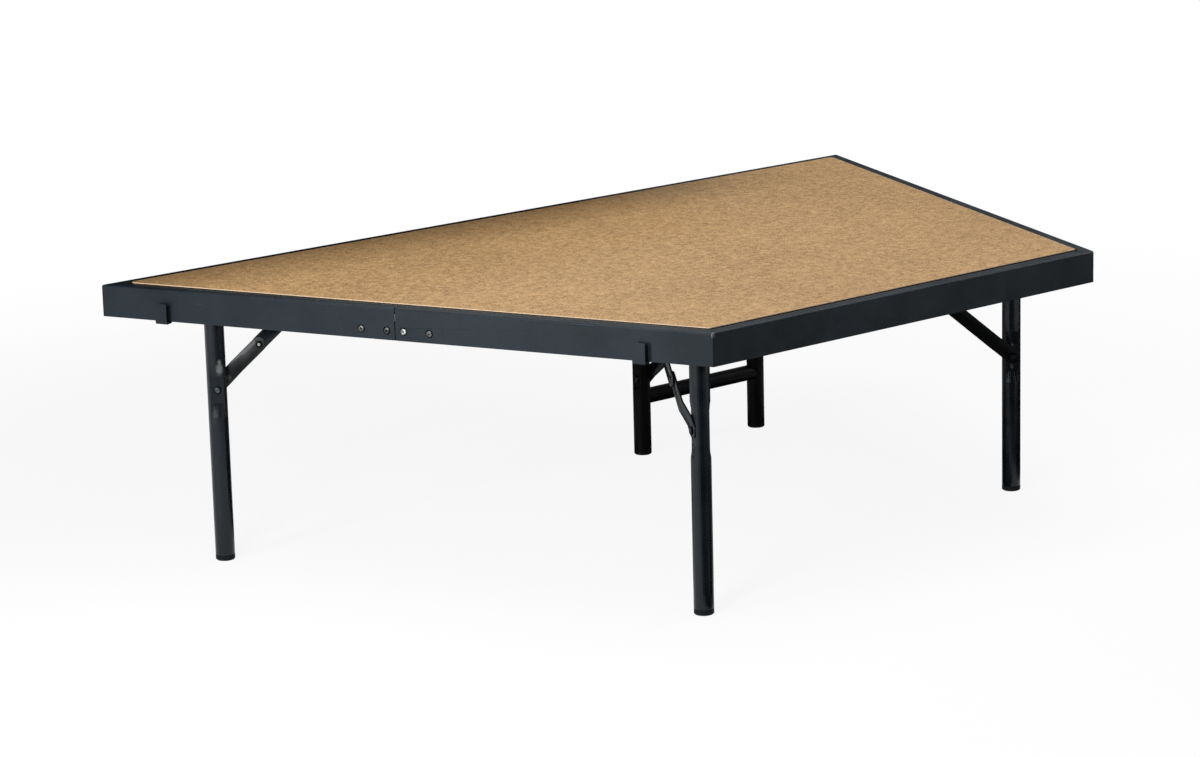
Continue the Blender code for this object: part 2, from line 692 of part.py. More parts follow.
def brace(suffix, steel, zinc, hinge, place, drop, reach, outward):
    """Both links, the rivet between them, the bolt through the leg and the pin in the tab."""
    lower_length, upper_length, pitch = brace_shape(drop, reach, outward)
    link_axis = guide(f"link_axis_{suffix}", Matrix.Translation((0, 0, -drop)), hinge)
    at_leg = link_place(0, 0, pitch, LOWER_LINK_INNER)
    add(f"brace_lower_{suffix}", lower_link(lower_length), steel, link_axis, at_leg)
    step = LOWER_LINK_INNER + LINK_JOGGLE
    rivet = headed_pin((step, step + LINK_THICKNESS), BRACE_PIN_RADIUS,
                       RIVET_HEAD_RADIUS, RIVET_HEAD_HEIGHT)
    at_rivet = Matrix.Translation((lower_length * math.cos(pitch), 0,
                                   lower_length * math.sin(pitch)))
    add(f"brace_rivet_{suffix}", rivet, zinc, link_axis, at_rivet)
    bolt = headed_pin((-PRESSED_FACE, LOWER_LINK_INNER + LINK_THICKNESS), BRACE_PIN_RADIUS,
                      BOLT_HEAD_RADIUS, BOLT_HEAD_HEIGHT, (BOLT_HEAD_RADIUS, BOLT_HEAD_HEIGHT))
    add(f"leg_bolt_{suffix}", bolt, steel, hinge, Matrix.Translation((0, 0, -drop)))
    anchor_place = place @ Matrix.Translation((reach, 0, 0))
    anchor = guide(f"anchor_axis_{suffix}", anchor_place)
    at_anchor = link_place(0, 0, math.pi + pitch, UPPER_LINK_INNER)
    upper = add(f"brace_upper_{suffix}", upper_link(upper_length), steel, anchor, at_anchor)
    top = LINK_THICKNESS + BOSS_HEIGHT
    boss = turned([(0, LINK_THICKNESS / 2), (RIVET_HEAD_RADIUS, LINK_THICKNESS / 2),
                   (RIVET_HEAD_RADIUS, LINK_THICKNESS + BOSS_HEIGHT / 3),
                   (RIVET_HEAD_RADIUS * 0.6, top), (0, top)])
    cut(upper, shifted(boss, (upper_length, 0, 0)), anchor, at_anchor, "UNION")
    pin = headed_pin((-TAB_OUTER, -UPPER_LINK_INNER), BRACE_PIN_RADIUS,
                     RIVET_HEAD_RADIUS, ANCHOR_HEAD_HEIGHT)
    bmesh.ops.rotate(pin, verts=pin.verts[:], matrix=Matrix.Rotation(math.pi, 3, "Z"))
    add(f"anchor_pin_{suffix}", pin, zinc, place=anchor_place)


def single_leg(suffix, spot, heading, steel, plastic, zinc, drop, reach, back):
    """A leg that folds alone, with its bracket, brace and foot."""
    place = leg_place(spot, heading, PIVOT_Z)
    hinge = guide(f"hinge_axis_{suffix}", place)
    leg_bracket(f"leg_bracket_{suffix}", steel, spot, heading, reach, back)
    pivot_bolt(f"leg_pivot_{suffix}", zinc, place)
    leg_tube(f"leg_tube_{suffix}", steel, hinge, drop)
    foot(f"foot_{suffix}", plastic, hinge)
    brace(suffix, steel, zinc, hinge, place, drop, reach, True)


def pair_clevis(name, finish, place):
    """A plate welded to the rear member with two ears forward for the pivot bolt."""
    back = -(LEG_SWING + CLEVIS_BACK_CLEARANCE)
    top = LEDGE_TOP - PIVOT_Z
    plate = block((back - BRACKET_WALL, back), (-BRACKET_HALF_WIDTH, BRACKET_HALF_WIDTH),
                  (top - CLEVIS_HEIGHT, top))
    clevis = add(name, plate, finish, place=place)
    root = back - BRACKET_WALL / 2
    for inner, outer in ((EAR_INNER, EAR_OUTER), (-EAR_OUTER, -EAR_INNER)):
        outline = arc(0, 0, EAR_DROP, 90, -90, 12)
        outline += [(root, -EAR_DROP), (root, EAR_DROP)]
        ear = extruded([outline], -outer, -inner)
        bmesh.ops.rotate(ear, verts=ear.verts[:], matrix=Matrix.Rotation(math.pi / 2, 3, "X"))
        cut(clevis, ear, place=place, operation="UNION")
    hole, reach = PIVOT_RADIUS + PIN_CLEARANCE, EAR_OUTER * 2
    bore = turned([(0, -reach), (hole, -reach), (hole, reach), (0, reach)])
    cut(clevis, turn_axis(bore, "Y"), place=place)
    return clevis


def crossbar(finish, hinge):
    """The tube between the paired legs, coped to fit round them, in the left leg's axes."""
    rings = [circle(0, 0, r, ROUND_SEGMENTS) for r in (CROSSBAR_RADIUS, CROSSBAR_RADIUS - LEG_WALL)]
    bar = turn_axis(extruded(rings, 0, PAIR_SPACING), "Y")
    height = CROSSBAR_HEIGHT - PIVOT_Z
    bar = add("pair_crossbar", shifted(bar, (0, 0, height)), finish, parent=hinge)
    reach = CROSSBAR_RADIUS * 2
    for at in (0, PAIR_SPACING):
        radius = LEG_RADIUS + GAP
        cope = turned([(0, -reach), (radius, -reach), (radius, reach), (0, reach)], ROUND_SEGMENTS)
        cut(bar, shifted(cope, (0, at, height)), parent=hinge)
    return bar


def anchor_bracket(finish, zinc, place, reach, plywood):
    """The pair's brace anchor: a plate screwed up into the plywood, with a tab for the upper link."""
    top = LEDGE_TOP - PIVOT_Z
    bottom = top - BRACKET_WALL
    half = ANCHOR_PLATE_HALF_WIDTH + WOOD_SCREW_HEAD_RADIUS * 2
    inner = TAB_INNER - ANCHOR_PLATE_HALF_WIDTH * 2
    at = place @ Matrix.Translation((reach, 0, 0))
    plate = block((-half, half), (inner, TAB_OUTER + TAB_MARGIN), (bottom, top))
    bracket = add("pair_anchor_bracket", plate, finish, place=at)
    tab = ear_shape(TAB_INNER, TAB_OUTER, bottom + BRACKET_WALL / 2, TAB_DROP, TAB_DROP)
    cut(bracket, tab, place=at, operation="UNION")
    hole = BRACE_PIN_RADIUS + PIN_CLEARANCE
    low, high = TAB_INNER - BRACKET_WALL, TAB_OUTER + BRACKET_WALL
    bore = turned([(0, low), (hole, low), (hole, high), (0, high)])
    cut(bracket, turn_axis(bore, "Y"), place=at)
    screw_line = (inner + TAB_INNER) / 2
    for number, shift in enumerate((-ANCHOR_SCREW_PITCH / 2, ANCHOR_SCREW_PITCH / 2), 1):
        spot = at @ Matrix.Translation((shift, screw_line, bottom))
        hole = WOOD_SCREW_RADIUS + PIN_CLEARANCE
        up = BRACKET_WALL + GAP + WOOD_SCREW_BITE
        bore = turned([(0, -GAP), (hole, -GAP), (hole, up + GAP), (0, up + GAP)])
        tool = cut(bracket, bore, place=spot)
        through = plywood.modifiers.new(f"screw_{number}", "BOOLEAN")
        through.operation = "DIFFERENCE"
        through.solver = "EXACT"
        through.object = tool
        head, rise = WOOD_SCREW_HEAD_RADIUS, WOOD_SCREW_HEAD_HEIGHT
        screw = turned([(0, -GAP - rise), (head * 0.7, -GAP - rise * 0.8), (head, -GAP - rise * 0.3),
                        (head, -GAP), (WOOD_SCREW_RADIUS, -GAP), (WOOD_SCREW_RADIUS, up), (0, up)])
        add(f"pair_anchor_screw_{number}", screw, zinc, place=spot)


def leg_pair(steel, plastic, zinc, plywood):
    """Two legs that fold together on one crossbar, with one brace at the left leg."""
    y = DEPTH / 2 - PAIR_FROM_LONG
    spots = {"left": Vector((PAIR_LEFT_X, y)), "right": Vector((PAIR_LEFT_X + PAIR_SPACING, y))}
    place = leg_place(spots["left"], PAIR_HEADING, PIVOT_Z)
    hinge = guide("hinge_axis_pair", place)
    crossbar(steel, hinge)
    for end, offset in (("left", 0), ("right", PAIR_SPACING)):
        own_place = leg_place(spots[end], PAIR_HEADING, PIVOT_Z)
        own = guide(f"hinge_axis_pair_{end}", own_place)
        pair_clevis(f"leg_clevis_pair_{end}", steel, own_place)
        pivot_bolt(f"leg_pivot_pair_{end}", zinc, own_place)
        below = (PAIR_PRESS_FLAT_BELOW, PAIR_PRESS_RAMP_BELOW)
        leg_tube(f"leg_tube_pair_{end}", steel, own, None if offset else PAIR_BRACE_PIN_DROP, below)
        foot(f"foot_pair_{end}", plastic, own)
    brace("pair", steel, zinc, hinge, place, PAIR_BRACE_PIN_DROP, PAIR_BRACE_REACH, False)
    anchor_bracket(steel, zinc, place, PAIR_BRACE_REACH, plywood)


def main():
    clear_scene()
    steel = material("black_steel", (0.035, 0.041, 0.047), 0.42, 0.3)
    zinc = material("zinc", (0.62, 0.62, 0.60), 0.32, 1.0)
    plastic = material("black_plastic", (0.016, 0.017, 0.018), 0.55, 0.0)
    hardboard = material("hardboard", (0.52, 0.34, 0.18), 0.38, 0.0)
    plywood_wood = material("plywood", (0.60, 0.44, 0.26), 0.60, 0.0)
    plywood = deck(steel, hardboard, plywood_wood, zinc)

    rear_left = meeting_point("left", REAR_LEFT_FROM_LEFT, "long", REAR_LEFT_FROM_LONG)
    bisector = direction("left") - direction("long")
    rear_heading = math.atan2(bisector.y, bisector.x)
    single_leg("rear_left", rear_left, rear_heading, steel, plastic, zinc,
               REAR_LEFT_PIN_DROP, BRACE_REACH, BRACKET_BACK)

    front_left = meeting_point("left", FRONT_LEFT_FROM_LEFT, "short", FRONT_LEFT_FROM_SHORT)
    single_leg("front_left", front_left, FRONT_LEFT_HEADING, steel, plastic, zinc,
               FRONT_LEFT_PIN_DROP, BRACE_REACH, BRACKET_BACK)

    front_right = meeting_point("right", FRONT_RIGHT_FROM_RIGHT, "short", FRONT_RIGHT_FROM_SHORT)
    single_leg("front_right", front_right, FRONT_RIGHT_HEADING, steel, plastic, zinc,
               LONG_BRACE_PIN_DROP, LONG_BRACE_REACH, BRACKET_BACK_LONG)

    leg_pair(steel, plastic, zinc, plywood)


main()
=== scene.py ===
"""Finishes, studio and camera for a pie-shaped folding stage deck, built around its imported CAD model."""
import json
import math

import bmesh
import bpy
from mathutils import Matrix, Vector


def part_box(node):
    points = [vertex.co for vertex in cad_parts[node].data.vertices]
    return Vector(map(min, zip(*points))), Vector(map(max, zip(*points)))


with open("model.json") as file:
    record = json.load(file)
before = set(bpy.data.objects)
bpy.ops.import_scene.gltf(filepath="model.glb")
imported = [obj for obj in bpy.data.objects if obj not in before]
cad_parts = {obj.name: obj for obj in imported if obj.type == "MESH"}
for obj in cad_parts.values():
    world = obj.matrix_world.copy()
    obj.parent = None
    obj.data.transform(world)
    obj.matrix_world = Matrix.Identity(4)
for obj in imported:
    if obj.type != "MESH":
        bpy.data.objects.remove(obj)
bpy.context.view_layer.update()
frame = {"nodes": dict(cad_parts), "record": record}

# The camera that was fitted to the deck's edges and legs in the photograph
CAMERA_LENS = 106.54
CAMERA_SENSOR = 36
CAMERA_PLACE = (-3.5699, -3.8881, 1.4212)
CAMERA_YAW = math.radians(-40.9663)
CAMERA_PITCH = math.radians(12.9297)
CAMERA_ROLL = math.radians(-1.4754)

# The floor: grey in the light that it throws back, and white where it is seen
FLOOR_SIZE = 60
FLOOR_DROP = 0.0006
FLOOR_GREY = 0.24
FLOOR_WHITE = 0.92
FLOOR_ROUGHNESS = 0.9
# Share of plain white that is mixed into the seen floor, and the distances over which it grows to all
FLOOR_GLOW = 0.90
SHADOW_NEAR = 0.9
SHADOW_FAR = 2.6

# A dark curtain round the deck, and a panel that shades its far edge
CURTAIN_RADIUS = 6.6
CURTAIN_HEIGHT = 3.7
CURTAIN_SIDES = 96
CURTAIN_GREY = 0.02
DOOR_X = (-1.15, 0.45)
DOOR_Y = (0.36, 1.6)
DOOR_Z = 0.64

# Strength of the sky as a lamp, and as it is seen
SKY_LIGHT = 0.07
SKY_SEEN = 1.0

# Soft lamps: name, place, aim, width, height, power
LAMPS = (
    ("top_softbox", (0.0, 0.1, 2.9), (0, 0, 0.4), 2.8, 2.2, 57),
    ("left_softbox", (-2.9, -1.4, 1.8), (-0.4, -0.1, 0.3), 0.7, 1.5, 62),
    ("left_strip", (-2.9, -0.1, 0.75), (0, 0, 0.2), 0.38, 1.2, 30),
    ("right_strip", (0.2, -3.2, 0.6), (0, 0, 0.2), 0.12, 1.15, 8),
    ("right_softbox", (3.3, -0.5, 1.2), (0.4, 0, 0.3), 0.6, 1.6, 18),
)

# Black cards on the floor that only reflections see, painting dark surroundings into reflections, and under
# the deck the floor's shade: their corners, and their height
CARDS = (
    ((-0.33, -0.44), (-3.07, -1.66), (-3.07, -5), (0.474, -5)),
    ((-0.33, -0.44), (-0.148, -1.0), (4, -1.0), (4, 2), (0.85, 0.55), (0.42, -0.44)),
    ((-0.148, -1.0), (0.275, -2.3), (0.38, -2.3), (0.38, -1.0)),
    ((2.1, -1.0), (2.1, -2.7), (4, -2.7), (4, -1.0)),
    ((0.405, -2.7), (1.152, -5), (4, -5), (4, -2.7)),
    ((-0.56, 0.42), (-0.36, -0.20), (-0.30, -0.34), (0.36, -0.36), (0.60, 0.42)),
    ((-0.45, 0.52), (0.9, 0.52), (0.9, 2.2), (-0.45, 2.2)),
)
CARD_HEIGHT = 0.0005

# Colours of the coated steel and the plastic; all colours here are linear
FRAME_COLOUR = (0.0112, 0.0160, 0.0208)
LEG_COLOUR = (0.0038, 0.0058, 0.0088)
# A lighter copy of the coat for the rear left leg's lower link, painting light onto it
LIT_LINK_COLOUR = (0.0120, 0.0128, 0.0135)
# A darker copy of the coat that paints the shade under the deck
SHADED_COAT_COLOUR = (0.0034, 0.0032, 0.0034)
FOOT_COLOUR = (0.0055, 0.0068, 0.0082)
# Bare metal where the coat is rubbed off, also the colour of the painted sheen on a link
WEAR_AND_SHEEN_COLOUR = (0.30, 0.31, 0.31)
COAT_TINT = (0.85, 0.94, 1.0, 1.0)

# Colours of bare and blackened metal, and of a head's dark rim: paint on a rivet, painted shade on a screw
# or bolt
ZINC_COLOUR = (0.66, 0.66, 0.63)
OXIDE_COLOUR = (0.16, 0.20, 0.25)
RIM_COLOUR = (0.0030, 0.0035, 0.0040)

# Colours of the board and the plywood under it
BOARD_LIGHT = (0.79, 0.492, 0.226)
BOARD_DARK = (0.145, 0.080, 0.033)
# The pale colour of the board's cut edge, specks and scuffs, also a painted highlight on its rim; then the
# painted shade in the gap at its side
BOARD_EDGE = (0.88, 0.66, 0.44)
BOARD_GAP_SHADE = (0.022, 0.017, 0.013)
PLY_LIGHT = (0.62, 0.44, 0.25)
PLY_DARK = (0.38, 0.23, 0.115)

# Edges that are rounded, as (start of a node's name, width), and how they are rounded
EASED_EDGES = (
    ("rail_", 0.0009),
    ("brace_upper", 0.0006),
    ("brace_lower", 0.0006),
    ("clip_", 0.0005),
    ("leg_bracket", 0.0005),
    ("leg_clevis", 0.0005),
    ("pair_anchor_bracket", 0.0005),
    ("leg_bolt", 0.0004),
)
EASED_STEPS = 2
SHARP_ANGLE = math.radians(40)
CURVED_NODES = ("brace_", "leg_bolt")
WELD_DISTANCE = 0.00001
FACE_TOLERANCE = 0.0001

# Cross recess of the splice screws, and how far each screw is turned
RECESS_LENGTH = 0.0056
RECESS_WIDTH = 0.0013
RECESS_DEPTH = 0.0018
RECESS_TAPER = 0.45
SCREW_TURNS = tuple(math.radians(a) for a in (20, 65, 38, 80))

# Heads: how bright each is, and the radii between which it is bright. On a rivet the bright metal is wear;
# on the screws and bolts it is a painted glint, set one by one, with painted shade round it
PAINTED_SCREW_GLINT = (0.30, 0.16, 1.0, 0.26)
SCREW_BRIGHT = (0.0012, 0.0041)
RIVET_BRIGHT = (0, 0.0021)
BOLT_BRIGHT = (0, 0.0034)
PAINTED_BOLT_GLINT = {"rear_left": 1.0}
DIM_BOLT_GLINT = 0.25

# Nodes with a darker dull copy of the coat, which paints the shade under the deck onto them, and the
# folding units that each have a rivet and a leg bolt
SHADED_COAT_NODES = (
    "brace_lower_front_right",
    "brace_upper_front_right",
    "leg_tube_pair_left",
    "leg_tube_pair_right",
    "pair_crossbar",
)
FOLDING_UNITS = ("rear_left", "front_left", "front_right", "pair")

# Rub marks on the rear left leg, as (height, size, strength), and on its link, which has an offset first
REAR_LEG_RUBS = ((0.2995, 0.0038, 0.5), (0.289, 0.0072, 0.5))
REAR_LINK_RUB = ((0.0205, -0.0030, 0), 0.2725, 0.0050, 0.45)
# Rub marks on the front right leg, as (rise above its bolt, size, strength)
FRONT_LEG_RUBS = ((0.0195, 0.0044, 1.0), (-0.013, 0.0048, 1.0))
# Where the marks lie on a tube, in shares of its radius: to the right of its axis and in front of it
REAR_FLANK = (0.45, 0.88)
FRONT_FLANK = 0.8
# The rub at the near corner of the frame: drop below its top, size and strength
CORNER_RUB = (0.0030, 0.0040, 1.0)
RUB_STRETCH = (1, 1, 0.55)
RUB_SPAN = (1.05, 0.3)
RUB_RAGGED = 1.3

# Wear of the coat, its dark mitre lines, shade painted into its seams, and the height of its orange peel
SCRATCH_STRETCH = (3, 3, 240)
SCRATCH_TURN = 0.3
SCRATCH_STRENGTH = 0.2
NICK_RADIUS = 0.0012
NICK_STRENGTH = 0.35
# Strength of the painted sheen on the rear left leg's lower link
PAINTED_SHEEN_STRENGTH = 0.22
GRIME_AND_SHADE = 0.12
SEAM_DEPTH = 0.005
FRAME_SEAM_DEPTH = 0.010
SEAM_CLOSED = 0.15
SEAM_OPEN = 0.75
FRAME_SEAM_OPEN = 0.92
MITRE_LINE = (0.0017, 0.0010)
MITRE_STRENGTH = 0.85
FRAME_PEEL = 0.00006
LEG_PEEL = 0.00002

# The board's bright proud edge, partly its paler cut edge and partly a painted highlight, and the depths
# below its top between which its side turns to painted shade
BOARD_RIM = 0.0016
BOARD_RIM_STRENGTH = 0.95
BOARD_SIDE = (0.0009, 0.0013)

# Height over which a light ply and a dark one repeat
PLY_PAIR = 0.0038

# The board's middle tone between its dark and its light colour
BOARD_TONE = 0.52

# Where most of a noise's values lie, and the agreement of two normals from a flat face to a sharp edge
NOISE_SPAN = (0.3, 0.7)
EDGE_AGREEMENT = (0.995, 0.86)


def fill(tree, node, inputs):
    """Links or sets a node's inputs; each is a value or another node's socket."""
    for key, value in inputs.items():
        if isinstance(value, bpy.types.NodeSocket):
            tree.links.new(value, node.inputs[key])
        else:
            node.inputs[key].default_value = value


def make(tree, kind, inputs=None, **settings):
    """A node with its settings and its inputs."""
    made = tree.nodes.new(kind)
    for key, value in settings.items():
        setattr(made, key, value)
    fill(tree, made, inputs or {})
    return made


def coordinates(tree, stretch=(1, 1, 1), turn=0.0):
    """The place on the part at rest, in metres, stretched and turned about Z."""
    place = make(tree, "ShaderNodeTexCoord").outputs["Object"]
    inputs = {"Vector": place, "Scale": stretch, "Rotation": (0, 0, turn)}
    return make(tree, "ShaderNodeMapping", inputs).outputs["Vector"]


def noise(tree, vector, scale, detail=3.0, roughness=0.5, distortion=0.0):
    inputs = {"Vector": vector, "Scale": scale, "Detail": detail, "Roughness": roughness,
              "Distortion": distortion}
    return make(tree, "ShaderNodeTexNoise", inputs).outputs[0]


def remap(tree, value, span, to=(0.0, 1.0)):
    """A value carried smoothly from one span to another, and held at its ends."""
    inputs = {"Value": value, "From Min": span[0], "From Max": span[1], "To Min": to[0], "To Max": to[1]}
    return make(tree, "ShaderNodeMapRange", inputs, interpolation_type="SMOOTHSTEP").outputs["Result"]


def calc(tree, operation, a, b=0.0):
    return make(tree, "ShaderNodeMath", {0: a, 1: b}, operation=operation).outputs[0]


def plus(tree, a, b):
    return calc(tree, "ADD", a, b)


def times(tree, a, b):
    return calc(tree, "MULTIPLY", a, b)


def larger(tree, a, b):
    return calc(tree, "MAXIMUM", a, b)


def swing(tree, value, amount):
    """A noise value as a swing about zero."""
    return times(tree, calc(tree, "SUBTRACT", value, 0.5), amount)


def vector_calc(tree, operation, output, *vectors):
    inputs = dict(enumerate(vectors))
    return make(tree, "ShaderNodeVectorMath", inputs, operation=operation).outputs[output]


def offset(tree, here, place):
    """The way from a place to here."""
    return vector_calc(tree, "SUBTRACT", "Vector", here, place)


def length(tree, vector):
    return vector_calc(tree, "LENGTH", "Value", vector)


def rise(tree, vector):
    """The Z of a vector."""
    return make(tree, "ShaderNodeSeparateXYZ", {0: vector}).outputs["Z"]


def levelness(tree):
    """1 on level faces and 0 on standing ones."""
    normal = make(tree, "ShaderNodeNewGeometry").outputs["Normal"]
    return calc(tree, "ABSOLUTE", rise(tree, normal))


def shade(colour, share):
    return tuple(c * share for c in colour)


def blended(tree, factor, a, b):
    """Two colours mixed by a factor."""
    a, b = (c if isinstance(c, bpy.types.NodeSocket) else (*c, 1.0) for c in (a, b))
    return make(tree, "ShaderNodeMix", {0: factor, 6: a, 7: b}, data_type="RGBA").outputs[2]


def edge_mask(tree, radius):
    """1 on sharp edges and 0 on flat faces, from how well a rounded normal agrees with the true one."""
    soft = make(tree, "ShaderNodeBevel", {"Radius": radius}, samples=6).outputs["Normal"]
    true = make(tree, "ShaderNodeNewGeometry").outputs["Normal"]
    return remap(tree, vector_calc(tree, "DOT_PRODUCT", "Value", soft, true), EDGE_AGREEMENT)


def crevice_shade(tree, distance, open_from):
    """1 in the open and 0 deep in a seam, a hole's rim or a corner between two pieces, where shade is
    painted into the coat.
    """
    open_air = make(tree, "ShaderNodeAmbientOcclusion", {"Distance": distance}, samples=8).outputs["AO"]
    return remap(tree, open_air, (SEAM_CLOSED, open_from))


def start(name):
    """A new material, its node tree and its Principled shader."""
    made = bpy.data.materials.new(name)
    made.use_nodes = True
    return made, made.node_tree, made.node_tree.nodes["Principled BSDF"]


def bump(tree, height, distance, strength):
    """A normal that a height bends."""
    inputs = {"Height": height, "Distance": distance, "Strength": strength}
    return make(tree, "ShaderNodeBump", inputs).outputs["Normal"]


def coat_colour(tree, here, colour):
    """The coat's colour, faintly clouded and grained."""
    clouds = remap(tree, noise(tree, here, scale=9, detail=4), NOISE_SPAN, (0.86, 1.1))
    grain = remap(tree, noise(tree, here, scale=900, detail=2, roughness=0.6), NOISE_SPAN, (-0.1, 0.1))
    tone = remap(tree, plus(tree, clouds, grain), (0.75, 1.2))
    return blended(tree, tone, shade(colour, 0.55), shade(colour, 1.35))


def coat_wear(tree, here):
    """How bare the coat is: hairline scratches in patches, and nicks along sharp edges."""
    stretched = coordinates(tree, SCRATCH_STRETCH, SCRATCH_TURN)
    hairlines = remap(tree, noise(tree, stretched, scale=9, detail=2, roughness=0.7), (0.72, 0.76))
    patches = remap(tree, noise(tree, here, scale=21, detail=2), (0.5, 0.62))
    scratches = times(tree, times(tree, hairlines, patches), SCRATCH_STRENGTH)
    chips = remap(tree, noise(tree, here, scale=60, detail=5, roughness=0.7), (0.56, 0.72))
    nicks = times(tree, times(tree, edge_mask(tree, NICK_RADIUS), chips), NICK_STRENGTH)
    return larger(tree, scratches, nicks)


def rub_mark(tree, here, place, size, strength):
    """A ragged bare patch round a place, taller than it is wide."""
    reach = length(tree, vector_calc(tree, "MULTIPLY", "Vector", offset(tree, here, place), RUB_STRETCH))
    fray = swing(tree, noise(tree, here, scale=150, detail=5, roughness=0.65), size * RUB_RAGGED)
    span = tuple(size * share for share in RUB_SPAN)
    return times(tree, remap(tree, plus(tree, reach, fray), span), strength)


def painted_link_sheen_mask(tree, here, foot, along, across):
    """A painted sheen in the colour of bare metal, growing away from a link's foot, which is left in
    painted shade, and toward its upper edge.
    """
    way = offset(tree, here, foot)
    run = vector_calc(tree, "DOT_PRODUCT", "Value", way, along)
    climb = vector_calc(tree, "DOT_PRODUCT", "Value", way, across)
    sheen_share = times(tree, remap(tree, run, (0.012, 0.072)), remap(tree, climb, (-0.010, 0.009)))
    cloud = remap(tree, noise(tree, here, scale=70, detail=4), NOISE_SPAN, (0.7, 1.15))
    return times(tree, times(tree, sheen_share, cloud), PAINTED_SHEEN_STRENGTH)


def mitre_line(tree, here, corner):
    """The dark line down a corner of the frame, where two rails meet."""
    level = vector_calc(tree, "MULTIPLY", "Vector", offset(tree, here, corner), (1, 1, 0))
    return times(tree, remap(tree, length(tree, level), MITRE_LINE), MITRE_STRENGTH)


def powder_coat(name, colour, roughness, specular, peel, rubs=(), sheen_of_link=None, mitres=()):
    """Baked powder coat: fine orange peel, faint clouding, hairline scratches, edge wear and rub marks,
    with shade painted into its seams and, on one link, a painted sheen.
    """
    made, tree, shader = start(name)
    here = coordinates(tree)
    wear_and_sheen = coat_wear(tree, here)
    for rub in rubs:
        wear_and_sheen = larger(tree, wear_and_sheen, rub_mark(tree, here, *rub))
    # a painted sheen on a link, drawn in the colour of bare metal
    if sheen_of_link:
        wear_and_sheen = larger(tree, wear_and_sheen, painted_link_sheen_mask(tree, here, *sheen_of_link))
    base = blended(tree, wear_and_sheen, coat_colour(tree, here, colour), WEAR_AND_SHEEN_COLOUR)
    # a darker coat: the dark mitre lines and the shade painted into seams
    grime_and_shade = shade(colour, GRIME_AND_SHADE)
    for corner in mitres:
        base = blended(tree, mitre_line(tree, here, corner), base, grime_and_shade)
    seam = (FRAME_SEAM_DEPTH, FRAME_SEAM_OPEN) if mitres else (SEAM_DEPTH, SEAM_OPEN)
    open_air = crevice_shade(tree, *seam)
    even = (roughness - 0.05, roughness + 0.07)
    rough = remap(tree, noise(tree, here, scale=34, detail=4), NOISE_SPAN, even)
    fill(tree, shader, {
        # painted shade: the coat darkens in seams, hole rims and corners between pieces
        "Base Color": blended(tree, open_air, grime_and_shade, base),
        "Roughness": plus(tree, rough, times(tree, wear_and_sheen, 0.15)),
        "Specular IOR Level": specular,
        "Specular Tint": COAT_TINT,
        "Normal": bump(tree, noise(tree, here, scale=620, detail=3, roughness=0.55), peel, 0.3),
    })
    return made


def moulded_plastic(name, colour):
    """Matte moulded plastic with a fine spark-eroded texture and scuffs close to the floor."""
    made, tree, shader = start(name)
    here = coordinates(tree)
    low = remap(tree, rise(tree, here), (0.009, 0.001))
    marks = remap(tree, noise(tree, here, scale=260, detail=5, roughness=0.7), (0.48, 0.62))
    fill(tree, shader, {
        "Base Color": blended(tree, times(tree, low, marks), colour, shade(colour, 2.6)),
        "Roughness": remap(tree, noise(tree, here, scale=90), NOISE_SPAN, (0.52, 0.68)),
        "Specular IOR Level": 0.1,
        "Normal": bump(tree, noise(tree, here, scale=1400, detail=2), 0.00006, 0.6),
    })
    return made


def zinc_plate(name):
    """Bright zinc plating: metallic, lightly clouded, with turning marks."""
    made, tree, shader = start(name)
    here = coordinates(tree)
    clouds = remap(tree, noise(tree, here, scale=240, detail=4), NOISE_SPAN)
    fill(tree, shader, {
        "Base Color": blended(tree, clouds, shade(ZINC_COLOUR, 0.62), ZINC_COLOUR),
        "Roughness": remap(tree, noise(tree, here, scale=700), NOISE_SPAN, (0.22, 0.40)),
        "Metallic": 1.0,
        "Normal": bump(tree, noise(tree, here, scale=1900, detail=2), 0.00004, 0.5),
    })
    return made


def head_wear_and_glint(name, centre, axis, bright, metal):
    """A head that is bright metal between two radii from its axis, in patches, and dark elsewhere. On a
    rivet the bright metal is wear and the dark is paint; on a screw or bolt they are a painted glint and
    painted shade.
    """
    made, tree, shader = start(name)
    here = coordinates(tree)
    radius = length(tree, vector_calc(tree, "CROSS_PRODUCT", "Vector", offset(tree, here, centre), axis))
    inner, outer = bright
    bare = remap(tree, radius, (outer * 1.12, outer * 0.88))
    if inner:
        bare = times(tree, bare, remap(tree, radius, (inner * 0.8, inner * 1.3)))
    patches = noise(tree, here, scale=230, detail=4, roughness=0.6)
    bare = times(tree, bare, remap(tree, patches, (0.38, 0.56), (0.3, 1.0)))
    fill(tree, shader, {
        "Base Color": blended(tree, bare, RIM_COLOUR, metal),
        "Metallic": bare,
        "Roughness": remap(tree, noise(tree, here, scale=700), NOISE_SPAN, (0.25, 0.45)),
        "Specular IOR Level": 0.1,
        "Normal": bump(tree, noise(tree, here, scale=1500, detail=2), 0.00003, 0.4),
    })
    return made


def specked(tree, base, colour, strength, stretch, turn, scale, span):
    """A base colour with small specks of another."""
    specks = noise(tree, coordinates(tree, (1, stretch, 1), turn), scale, detail=2)
    return blended(tree, times(tree, remap(tree, specks, span), strength), base, colour)


def board_edges(tree, here, base):
    """The board's colour with its bright rim, partly paler cut edge and partly painted highlight, and
    painted shade on its side where it sinks into the frame.
    """
    standing = remap(tree, levelness(tree), (0.9, 0.6))
    rim = times(tree, larger(tree, edge_mask(tree, BOARD_RIM), standing), BOARD_RIM_STRENGTH)
    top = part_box("deck_hardboard")[1].z
    gap_shade = remap(tree, rise(tree, here), tuple(top - depth for depth in BOARD_SIDE))
    return blended(tree, gap_shade, blended(tree, rim, base, BOARD_EDGE), BOARD_GAP_SHADE)


